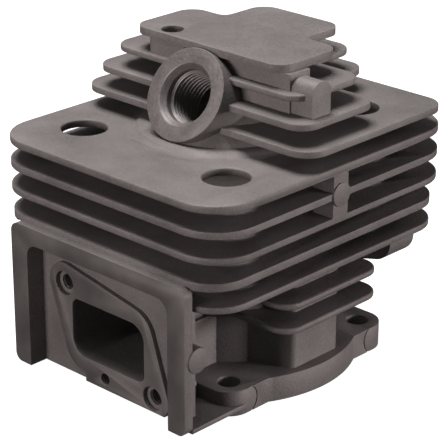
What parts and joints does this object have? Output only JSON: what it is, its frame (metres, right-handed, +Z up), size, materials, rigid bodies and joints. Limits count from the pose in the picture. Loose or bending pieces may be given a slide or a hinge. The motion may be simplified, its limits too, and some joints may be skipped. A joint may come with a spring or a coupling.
{
  "type": "two-stroke engine cylinder with integral head",
  "caption": "Finned air-cooled two-stroke cylinder with an integral domed head, angled spark plug boss, framed intake flange and round base flange.",
  "frame": {"origin": "on the bore axis, at the base gasket face", "axes": "+Z up the bore towards the head, -Y out of the intake port, +Y out of the exhaust port, +X to the right seen from the intake side"},
  "size_m": [0.0808, 0.0918, 0.0856],
  "materials": {
    "cast_aluminium": "shot-blasted die casting, matt warm grey",
    "bore_barrel": "shot-blasted outside, honed and plated bore",
    "machined_aluminium": "milled face, satin grey"
  },
  "bodies": {
    "root": {"barrel": "bore_barrel", "barrel_foot": "bore_barrel", "base_flange": "cast_aluminium", "deck": "cast_aluminium", "ejector_nub_left": "cast_aluminium", "ejector_nub_right": "cast_aluminium", "exhaust_duct": "cast_aluminium", "exhaust_flange": "cast_aluminium", "fin_1": "cast_aluminium", "fin_2": "cast_aluminium", "fin_3": "cast_aluminium", "fin_4": "cast_aluminium", "fin_5": "cast_aluminium", "fin_6": "cast_aluminium", "fin_post_left": "cast_aluminium", "fin_post_right": "cast_aluminium", "floor_web_left": "cast_aluminium", "floor_web_right": "cast_aluminium", "head_cap": "cast_aluminium", "head_dome": "cast_aluminium", "head_fin_1": "cast_aluminium", "head_fin_2": "cast_aluminium", "head_fin_3": "cast_aluminium", "head_rib": "cast_aluminium", "intake_duct": "cast_aluminium", "intake_frame": "cast_aluminium", "intake_pad": "machined_aluminium", "intake_panel": "cast_aluminium", "intake_sill": "bore_barrel", "port_bridges": "bore_barrel", "port_pillars": "bore_barrel", "screw_boss_high": "cast_aluminium", "screw_boss_low": "cast_aluminium", "shroud_screw_boss": "cast_aluminium", "side_boss": "cast_aluminium", "spark_plug_boss": "cast_aluminium", "transfer_cheeks": "cast_aluminium", "transfer_covers": "cast_aluminium", "transfer_roofs": "cast_aluminium", "transfer_sills": "bore_barrel"}
  },
  "joints": []
}
